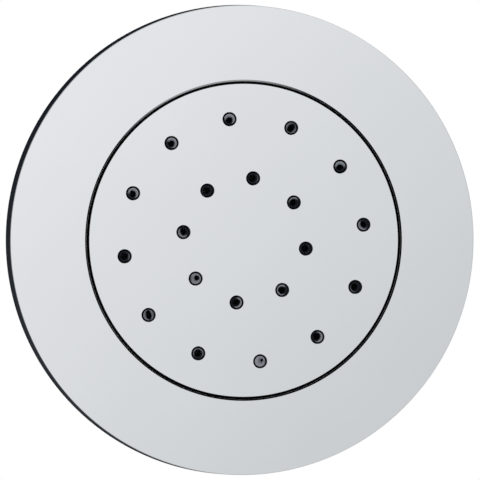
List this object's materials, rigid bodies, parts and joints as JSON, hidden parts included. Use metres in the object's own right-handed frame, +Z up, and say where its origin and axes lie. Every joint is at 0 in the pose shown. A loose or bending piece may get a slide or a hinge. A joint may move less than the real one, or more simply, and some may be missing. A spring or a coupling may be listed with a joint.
{
  "type": "shower body jet",
  "caption": "Round flush body jet for a shower wall: a chrome cover plate around a ball-mounted spray face with rubber nozzles, on a wall housing with a threaded water inlet.",
  "frame": {"origin": "centre of the wall gasket's back face, on the jet's axis, in the plane of the finished wall", "axes": "-Y along the spray, away from the wall; +Y along the water inlet, into the wall; +Z up; +X to the right seen from the front"},
  "size_m": [0.1212, 0.0642, 0.1212],
  "materials": {
    "chrome": "polished chrome plate",
    "nozzle_rubber": "glossy grey silicone",
    "seal_rubber": "satin black rubber",
    "gasket_rubber": "matte dark grey foam rubber",
    "housing_plastic": "grained dark grey moulding",
    "head_plastic": "satin black moulding",
    "seat_plastic": "smooth white moulding",
    "insert_plastic": "smooth blue-green moulding",
    "steel": "plain stainless steel",
    "brass": "turned brass"
  },
  "bodies": {
    "wall_set": {"cover_plate": "chrome", "collar_ring": "seal_rubber", "wall_housing": "housing_plastic", "wall_gasket": "gasket_rubber", "inlet_stem": "brass", "stem_washer": "seal_rubber", "back_washer": "steel", "back_nut": "brass", "flow_regulator": "insert_plastic", "regulator_ring": "seal_rubber", "inlet_filter": "steel"},
    "rear_seat": {"ball_seat_rear": "seat_plastic"},
    "front_seat": {"ball_seat_front": "seat_plastic"},
    "spray_head": {"spray_face": "chrome", "nozzle_mat": "nozzle_rubber", "nozzle_plate": "head_plastic", "head_shell": "head_plastic", "head_ring": "seal_rubber", "lock_ring": "brass", "ball_seal": "seal_rubber", "ball_nut": "brass"}
  },
  "joints": [
    {"name": "head_tilt_vertical", "type": "hinge", "parent": "wall_set", "child": "rear_seat", "pos_m": [0, 0.0089, 0], "axis": [1, 0, 0], "range_deg": [-8, 8]},
    {"name": "head_tilt_side", "type": "hinge", "parent": "rear_seat", "child": "front_seat", "pos_m": [0, 0.0089, 0], "axis": [0, 0, 1], "range_deg": [-8, 8]},
    {"name": "head_turn", "type": "hinge", "parent": "front_seat", "child": "spray_head", "pos_m": [0, 0.0089, 0], "axis": [0, 1, 0], "continuous": true}
  ]
}
